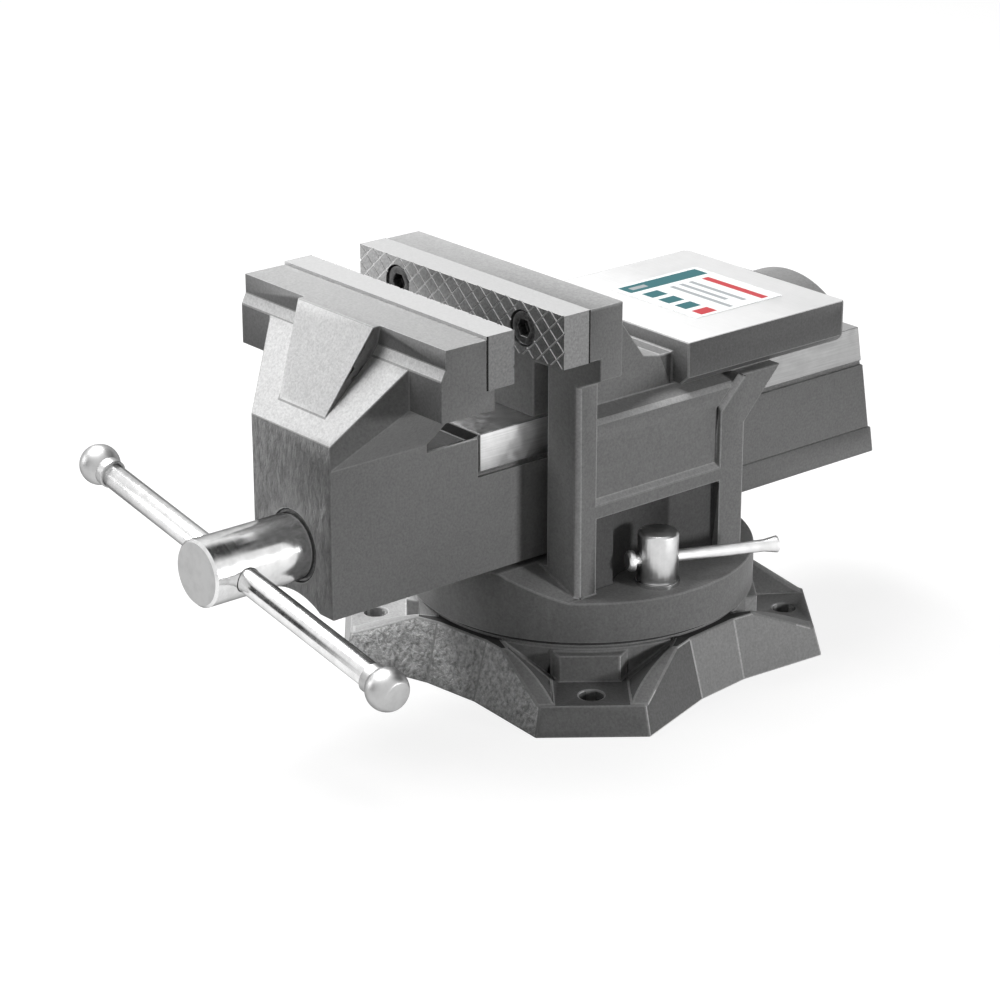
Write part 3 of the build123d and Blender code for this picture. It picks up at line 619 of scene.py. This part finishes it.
bodyCasting = {
    "edge": 0.8,
    "anvilTop": 166.1,
    "anvilSide": 145.0,
    "anvilFront": 8.0,
    "level": 0.05,
    "recessHeights": (54.2, 92.1),
    "recessRun": (-43.3, 36.6),
    "recessIn": (38.5, 57.0),
    "rimOut": (52.0, 59.68),
    "rimRun": (-56.0, 60.0),
    "rimHeights": (54.3, 144.0),
    "rimTilt": (0.3, 0.95),
    "rimUnder": -0.2,
}


# the lower recesses of the side frames, painted darker as painted shade
def inRecess(centre):
    return (between(centre.z, bodyCasting["recessHeights"]) and between(centre.y, bodyCasting["recessRun"])
            and between(abs(centre.x), bodyCasting["recessIn"]))


# slanting edges of the side frames
def onRim(centre, normal):
    return (between(abs(centre.x), bodyCasting["rimOut"]) and between(centre.y, bodyCasting["rimRun"])
            and between(centre.z, bodyCasting["rimHeights"])
            and between(abs(normal.x), bodyCasting["rimTilt"]))


# painted highlight on the rims' upper and front sides, and painted shade under them
def makeBodyCasting(finishes):
    piece = copyNode("rear_body", "bodyCasting")
    slots = addFinishes(piece, finishes)
    for face in piece.data.polygons:
        centre = face.center / mm
        onTop = abs(centre.z - bodyCasting["anvilTop"]) < bodyCasting["level"]
        # painted shade: the anvil's sides, above 145 mm and behind y = 8 mm, take darker paint
        onSide = centre.z > bodyCasting["anvilSide"] and centre.y > bodyCasting["anvilFront"]
        rimHighlighted = onRim(centre, face.normal) and face.normal.z > bodyCasting["rimUnder"]
        finish = ("ground" if onTop else "side" if onSide else "recess" if inRecess(centre)
                  else "rim" if rimHighlighted else "plain")
        face.material_index = slots[finish]
    roundEdges(piece, bodyCasting["edge"], slots["edge"])
    for face in piece.data.polygons:
        centre = face.center / mm
        if face.material_index != slots["edge"]:
            continue
        if inRecess(centre):
            face.material_index = slots["recess"]
        elif onRim(centre, face.normal):
            face.material_index = slots["rimShade" if face.normal.z < bodyCasting["rimUnder"] else "rim"]
    standFor(piece, "rear_body", "body")


jawCasting = {
    "edge": 0.5,
    "frontFace": -176.5,
    "level": 0.1,
    "railStart": -89.5,
    "railUnder": 120.0,
    "railHidden": -30.0,
    "pocketRun": (-120.0, -88.9),
    "pocketHeights": (128.0, 135.4),
    "pocketHalf": 27.6,
    "slopeRise": (0.35, 0.9),
    "seatHeight": 95.0,
    "seatRadius": 18.2,
    "seatEnd": -173.0,
    "barUnder": 168.2,
    "barFacing": -0.8,
}


def jawFinish(centre, normal):
    inPocket = (between(centre.y, jawCasting["pocketRun"]) and between(centre.z, jawCasting["pocketHeights"])
                and abs(centre.x) < jawCasting["pocketHalf"])
    offSeat = math.hypot(centre.x, centre.z - jawCasting["seatHeight"])
    inSeat = centre.y < jawCasting["seatEnd"] and offSeat < jawCasting["seatRadius"]
    # painted shade: the pocket ahead of the rails and the spindle's seat take near-black paint
    if inPocket or inSeat:
        return "pocket"
    # the front face gets chisel-marked texture, with painted shade: a little darker paint
    if normal.y < -squareOn and abs(centre.y - jawCasting["frontFace"]) < jawCasting["level"]:
        return "rough"
    behind = centre.y > jawCasting["railStart"]
    if behind and centre.z > jawCasting["railUnder"] and (abs(normal.x) > squareOn or normal.z > squareOn):
        return "ground"
    # painted light: the slopes ahead of the rails that face the front and up take paint 2.1 times as light
    if between(normal.z, jawCasting["slopeRise"]) and centre.y < jawCasting["railStart"] and normal.y < 0:
        return "slope"
    # painted shade: the front of the bar above 168.2 mm takes darker paint
    if normal.y < jawCasting["barFacing"] and centre.z > jawCasting["barUnder"]:
        return "bar"
    return "plain"


# the rails are ground bright ahead of the side frames, and a darker grey behind, where the body covers them
def makeJawCasting(finishes):
    piece = copyNode("front_jaw", "jawCasting")
    slots = addFinishes(piece, finishes)
    for face in piece.data.polygons:
        face.material_index = slots[jawFinish(face.center / mm, face.normal)]
    openEdit(piece)
    bpy.ops.mesh.bisect(plane_co=(0, jawCasting["railHidden"] * mm, 0), plane_no=(0, 1, 0))
    closeEdit()
    for face in piece.data.polygons:
        if face.material_index == slots["ground"] and face.center.y > jawCasting["railHidden"] * mm:
            face.material_index = slots["darkerRear"]
    roundEdges(piece, jawCasting["edge"], slots["edge"])
    standFor(piece, "front_jaw", "jaw")


# round pieces, turned along their own axis from a filled circle
turning = {"sides": 72, "edgeDegrees": 30}


def turnedPiece(name, stations, sides=turning["sides"]):
    deselectAll()
    along, radius = stations[0]
    bpy.ops.mesh.primitive_circle_add(vertices=sides, radius=radius * mm, fill_type="NGON")
    piece = bpy.context.object
    piece.name = name
    openEdit(piece)
    bpy.ops.transform.translate(value=(0, 0, along * mm))
    for nextAlong, nextRadius in stations[1:]:
        step = (nextAlong - along) * mm
        bpy.ops.mesh.extrude_region_move(TRANSFORM_OT_translate={"value": (0, 0, step)})
        scale = nextRadius / radius
        bpy.ops.transform.resize(value=(scale, scale, 1), center_override=(0, 0, nextAlong * mm))
        along, radius = nextAlong, nextRadius
    closeEdit()
    recalcNormals(piece)
    return piece


def cutHole(piece, cutter):
    hole = piece.modifiers.new("crossHole", "BOOLEAN")
    hole.operation = "DIFFERENCE"
    hole.solver = "EXACT"
    hole.object = cutter
    applyModifier(piece, hole)
    bpy.data.objects.remove(cutter)


# bars, bolts and screws: the construction with broken edges, in mm
brokenEdges = {"handleBar": 0.5, "lockBolt": 0.4, "lockBar": 0.25, "screws": 0.3}


def dressNode(nodeName, pieceName, body, material, width):
    piece = copyNode(nodeName, pieceName)
    piece.data.materials.append(material)
    roundEdges(piece, width, edgeDegrees=turning["edgeDegrees"])
    standFor(piece, nodeName, body)


# spindle: turned head with its cross hole, and a right-hand thread of 5 mm pitch
spindleTurning = {
    "noseChamfer": 1.2,
    "shoulder": 54.6,
    "journalRadius": 14.0,
    "journalEnd": 70.4,
    "holeRadius": 6.3,
    "holeReach": 40.0,
}
spindleThread = {
    "pitch": 5.0,
    "root": 10.4,
    "crest": 12.95,
    "flat": 1.4,
    "turns": 52,
    "start": 71.0,
    "tipRadius": 9.2,
    "steps": 36,
    "merge": 0.01,
    "smoothDegrees": 25,
}


def handleAxis():
    leftLow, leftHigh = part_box("handle_knob_left")
    rightLow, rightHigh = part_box("handle_knob_right")
    left = (leftLow + leftHigh) / 2
    right = (rightLow + rightHigh) / 2
    return (left + right) / 2, (right - left).normalized()


def turnFromZ(direction):
    return Vector((0, 0, 1)).rotation_difference(direction).to_euler()


def makeSpindleHead(material, faced):
    low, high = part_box("spindle")
    radius = (high.x - low.x) / 2 / mm
    chamfer = spindleTurning["noseChamfer"]
    piece = turnedPiece("spindleHead", [
        (0, radius - chamfer),
        (chamfer, radius),
        (spindleTurning["shoulder"], radius),
        (spindleTurning["shoulder"], spindleTurning["journalRadius"]),
        (spindleTurning["journalEnd"], spindleTurning["journalRadius"]),
        (spindleTurning["journalEnd"], spindleThread["root"]),
        (spindleThread["start"] + spindleThread["pitch"], spindleThread["root"]),
    ])
    axisHeight = (low.z + high.z) / 2
    placePiece(piece, (0, low.y, axisHeight), (math.radians(-90), 0, 0))
    middle, along = handleAxis()
    reach, holeRadius = spindleTurning["holeReach"], spindleTurning["holeRadius"]
    cutter = turnedPiece("holeCutter", [(-reach, holeRadius), (reach, holeRadius)])
    placePiece(cutter, (0, middle.y, axisHeight), turnFromZ(along))
    cutHole(piece, cutter)
    piece.data.materials.append(material)
    piece.data.materials.append(faced)
    for face in piece.data.polygons:
        face.material_index = 1 if face.normal.y < -squareOn else 0
    smoothByAngle(piece, turning["edgeDegrees"])
    standFor(piece, "spindle", "spindle")
    return low.y, high.y, axisHeight


def makeSpindleThread(material, nose, tail, axisHeight):
    sizes = spindleThread
    deselectAll()
    bpy.ops.mesh.primitive_plane_add(size=sizes["pitch"] * mm)
    piece = bpy.context.object
    piece.name = "spindleThread"
    openEdit(piece)
    bpy.ops.mesh.merge(type="CENTER")
    bpy.ops.transform.translate(value=(sizes["root"] * mm, 0, 0))
    depth = sizes["crest"] - sizes["root"]
    flank = (sizes["pitch"] - 2 * sizes["flat"]) / 2
    for out, on in ((0, sizes["flat"]), (depth, flank), (0, sizes["flat"]), (-depth, flank)):
        bpy.ops.mesh.extrude_vertices_move(TRANSFORM_OT_translate={"value": (out * mm, 0, on * mm)})
    closeEdit()
    helix = piece.modifiers.new("helix", "SCREW")
    helix.axis = "Z"
    helix.screw_offset = sizes["pitch"] * mm
    helix.iterations = sizes["turns"]
    helix.steps = sizes["steps"]
    helix.render_steps = sizes["steps"]
    helix.use_merge_vertices = True
    helix.merge_threshold = sizes["merge"] * mm
    applyModifier(piece, helix)
    openEdit(piece)
    bpy.ops.mesh.remove_doubles(threshold=sizes["merge"] * mm)
    bpy.ops.mesh.fill_holes(sides=0)
    bpy.ops.mesh.normals_make_consistent(inside=False)
    closeEdit()
    placePiece(piece, (0, nose + sizes["start"] * mm, axisHeight), (math.radians(-90), 0, 0))
    end = sizes["start"] + (sizes["turns"] + 1) * sizes["pitch"]
    length = (tail - nose) / mm
    tip = turnedPiece("spindleTip", [
        (end - 2 * sizes["pitch"], sizes["root"]),
        (length - sizes["flat"], sizes["root"]),
        (length, sizes["tipRadius"]),
    ])
    placePiece(tip, (0, nose, axisHeight), (math.radians(-90), 0, 0))
    makeActive(piece)
    tip.select_set(True)
    bpy.ops.object.join()
    piece.data.materials.append(material)
    smoothByAngle(piece, sizes["smoothDegrees"])
    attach(piece, "spindle")


# handle knobs: a ball with a flat end and a short neck, turned in one outline
knobTurning = {
    "ball": 9.8,
    "flat": 6.75,
    "neck": 7.0,
    "neckEnd": 11.3,
    "edge": 0.35,
    "steps": 16,
    "sides": 64,
    "leftCentre": -105.2,
    "rightCentre": 118.0,
}


def knobStations():
    ball = knobTurning["ball"]
    edge = knobTurning["edge"]
    flat = knobTurning["flat"]
    first = math.asin((flat + edge) / ball)
    last = math.pi - math.asin(knobTurning["neck"] / ball)
    drop = math.sqrt(ball ** 2 - flat ** 2)
    stations = [(drop, flat - edge), (drop - edge / 3, flat)]
    for step in range(knobTurning["steps"] + 1):
        angle = first + (last - first) * step / knobTurning["steps"]
        stations.append((ball * math.cos(angle), ball * math.sin(angle)))
    stations.append((edge - knobTurning["neckEnd"], knobTurning["neck"]))
    stations.append((-knobTurning["neckEnd"], knobTurning["neck"] - edge))
    return stations


def makeKnobs(material):
    middle, along = handleAxis()
    onSpindle = middle - along * (middle.x / along.x)
    for side, outward in (("left", -along), ("right", along)):
        piece = turnedPiece("handleKnob" + side.capitalize(), knobStations(), knobTurning["sides"])
        centre = onSpindle + along * knobTurning[side + "Centre"] * mm
        placePiece(piece, centre, turnFromZ(outward))
        piece.data.materials.append(material)
        smoothByAngle(piece, turning["edgeDegrees"])
        standFor(piece, "handle_knob_" + side, "handle")


# label: plain printed bands and squares, as shares of the sheet across and along
labelPrint = {
    "teal": [
        (0.04, 0.2, 0.05, 0.95),
        (0.27, 0.4, 0.1, 0.28),
        (0.46, 0.59, 0.1, 0.28),
        (0.65, 0.78, 0.1, 0.28),
    ],
    "red": [(0.27, 0.96, 0.8, 0.88), (0.84, 0.96, 0.1, 0.28)],
    "grey": [
        (0.27, 0.9, 0.64, 0.69),
        (0.27, 0.8, 0.53, 0.58),
        (0.27, 0.96, 0.42, 0.47),
        (0.09, 0.15, 0.12, 0.3),
    ],
}


def makeLabel(sheet, inks):
    low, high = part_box("anvil_label")
    span = high - low
    piece = copyNode("anvil_label", "anvilLabel")
    slots = addFinishes(piece, {"sheet": sheet, **inks})
    areas = [area for printed in labelPrint.values() for area in printed]
    openEdit(piece)
    for share in sorted({share for area in areas for share in area[:2]}):
        bpy.ops.mesh.select_all(action="SELECT")
        bpy.ops.mesh.bisect(plane_co=(low.x + share * span.x, 0, 0), plane_no=(1, 0, 0))
    for share in sorted({share for area in areas for share in area[2:]}):
        bpy.ops.mesh.select_all(action="SELECT")
        bpy.ops.mesh.bisect(plane_co=(0, low.y + share * span.y, 0), plane_no=(0, 1, 0))
    closeEdit()
    for face in piece.data.polygons:
        across = (face.center.x - low.x) / span.x
        along = (face.center.y - low.y) / span.y
        for colour in inks:
            for left, right, start, end in labelPrint[colour]:
                if face.normal.z > uprightBelow and left < across < right and start < along < end:
                    face.material_index = slots[colour]
    standFor(piece, "anvil_label", "body")


def paintNodes(material, *names):
    for name in names:
        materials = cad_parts[name].data.materials
        materials.clear()
        materials.append(material)


placeCamera()
lightStudio()
print("camera and studio placed")

paint = makeCastPaint("greyCastPaint")
# coarse sand-cast grain, with painted light: 1.75 times lighter than the plain paint
sandAndLight = makeCastPaint("sandCastAndPaintedLight", tone=1.75, grainStrength=1.0, lumpStrength=0.5,
                          coarse=4.0, speckle=0.3)
# chisel-marked texture, with painted shade: a little darker than the plain paint
chiselAndShade = makeCastPaint("chiselCastAndPaintedShade", tone=0.86, grainStrength=0.9, lumpStrength=0.4,
                            coarse=3.0, speckle=0.12, stretch=(1, 1, 0.4), turn=(0, 0.5, 0))
# painted shade: near-black paint in the groove under the disc, under the rims, and in the jaw's pocket and
# spindle seat
paintedShade = makeCastPaint("paintedShade", tone=0.25)
# painted shade on the anvil's sides
anvilShade = makeCastPaint("anvilSidePaintedShade", tone=0.64)
# painted shade in the side frames' lower recesses
recessShade = makeCastPaint("recessShade", tone=0.45)
# painted shade in the front lug's pocket
pocketShade = makeCastPaint("pocketShade", tone=0.5)
# painted light on the skirt facets facing +x
facetLight = makeCastPaint("facetPaintedLight", tone=1.5)
# painted shade on the skirt facets just past them
facetShade = makeCastPaint("facetPaintedShade", tone=0.74)
# painted shade on the front of the moving jaw's bar
barFrontShade = makeCastPaint("barFrontPaintedShade", tone=0.6)
nutIron = makeCastPaint("bareNutIron", tone=0.8)
# painted highlight on the rounded creases of the skirt
creaseHighlight = makeCastPaint("creasePaintedHighlight", tone=2.4, grainStrength=0.25)
# painted highlight on the side frames' rims
rimHighlight = makeCastPaint("rimPaintedHighlight", tone=1.8, grainStrength=0.3)
# painted light on the moving jaw's front slopes
slopeLight = makeCastPaint("slopePaintedLight", tone=2.1, grainStrength=0.3)
# worn edges with painted highlight: the rounded edges are lighter than the plain paint
wornEdgeHighlight = makeCastPaint("wornEdgePaintedHighlight", tone=1.2, grainStrength=0.25)
rubbedEdgeHighlight = makeCastPaint("rubbedEdgePaintedHighlight", tone=1.3, grainStrength=0.25)
flatSteel = makeGroundSteel("groundFlats", tone=1.16, evenness=6.0)
railSteel = makeGroundSteel("groundRails", tone=1.1, alongX=False)
darkerRail = makeGroundSteel("darkerRearRails", tone=0.55, alongX=False)
rodSteel = makePolishedSteel("turnedSpindle", axis=(0, 1, 0), tone=0.96, rougher=0.04)
facedSteel = makePolishedSteel("facedEnd", axis=(0, 1, 0), tone=0.6, rougher=0.22)
barSteel = makePolishedSteel("drawnBar", axis=(1, 0, 0), tone=1.0, rougher=0.06)
knobSteel = makePolishedSteel("satinKnob", axis=(1, 0, 0), tone=0.6, rougher=0.28)
boltSteel = makePolishedSteel("turnedBolt", axis=(0, 0, 1), tone=0.8, rougher=0.2)
tommySteel = makePolishedSteel("satinTommyBar", axis=(1, 0, 0), tone=1.0, rougher=0.26)
screwSteel = makeBlackSteel("blackScrews", tone=2.4)
innerSteel = makeBlackSteel("oiledSteel", tone=3.0)
fixedLow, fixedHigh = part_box("fixed_jaw_plate")
movingLow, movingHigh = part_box("moving_jaw_plate")
plateDepth = fixedHigh.y - fixedLow.y
fixedKnurl = makeKnurledSteel("fixedKnurl", fixedLow.y, 1, plateDepth, fixedHigh.x, knurl["fixedEnd"])
movingKnurl = makeKnurledSteel("movingKnurl", movingHigh.y, -1, plateDepth, movingHigh.x, knurl["movingShadedEnd"])
sheetInk = makeInk("labelSheet", (0.8, 0.82, 0.82))
printInks = {
    "teal": makeInk("tealInk", (0.0, 0.1, 0.115)),
    "red": makeInk("redInk", (0.46, 0.02, 0.03)),
    "grey": makeInk("greyInk", (0.32, 0.34, 0.35)),
}
print("materials made")

makeBaseCasting({
    "plain": paint,
    "rough": sandAndLight,
    "groove": paintedShade,
    "pocket": pocketShade,
    "pale": facetLight,
    "dull": facetShade,
    "edge": rubbedEdgeHighlight,
    "crease": creaseHighlight,
})
makeBodyCasting({
    "plain": paint,
    "ground": flatSteel,
    "side": anvilShade,
    "recess": recessShade,
    "rim": rimHighlight,
    "edge": rubbedEdgeHighlight,
    "rimShade": paintedShade,
})
makeJawCasting({
    "plain": paint,
    "rough": chiselAndShade,
    "ground": railSteel,
    "slope": slopeLight,
    "darkerRear": darkerRail,
    "pocket": paintedShade,
    "bar": barFrontShade,
    "edge": wornEdgeHighlight,
})
print("castings rounded")

dressNode("handle_bar", "handleBar", "handle", barSteel, brokenEdges["handleBar"])
makeKnobs(knobSteel)
for kind, bodyStem, material in (("Bolt", "lock_", boltSteel), ("Bar", "lock_bar_", tommySteel)):
    for side in ("right", "left"):
        dressNode("lock_" + kind.lower() + "_" + side, "lock" + kind + side.capitalize(),
                  bodyStem + side, material, brokenEdges["lock" + kind])
dressNode("fixed_jaw_screws", "fixedJawScrews", "body", screwSteel, brokenEdges["screws"])
dressNode("moving_jaw_screws", "movingJawScrews", "jaw", screwSteel, brokenEdges["screws"])
nose, tail, axisHeight = makeSpindleHead(rodSteel, facedSteel)
makeSpindleThread(rodSteel, nose, tail, axisHeight)
print("bars, bolts and spindle turned")

makeLabel(sheetInk, printInks)
print("label printed")

paintNodes(fixedKnurl, "fixed_jaw_plate")
paintNodes(movingKnurl, "moving_jaw_plate")
# the thrust washer is painted black as painted shade, for the dark ring round the spindle
paintNodes(screwSteel, "spindle", "thrust_washer")
paintNodes(rodSteel, "lock_washer_right", "lock_washer_left")
paintNodes(innerSteel, "pivot_bolt", "pivot_washer", "pivot_nut", "nut_bolts", "spring_washer")
paintNodes(innerSteel, "spindle_spring", "retaining_collar", "collar_pin")
paintNodes(innerSteel, "lock_t_nut_right", "lock_t_nut_left")
paintNodes(nutIron, "spindle_nut")
paintNodes(sheetInk, "anvil_label")
print("construction nodes finished")
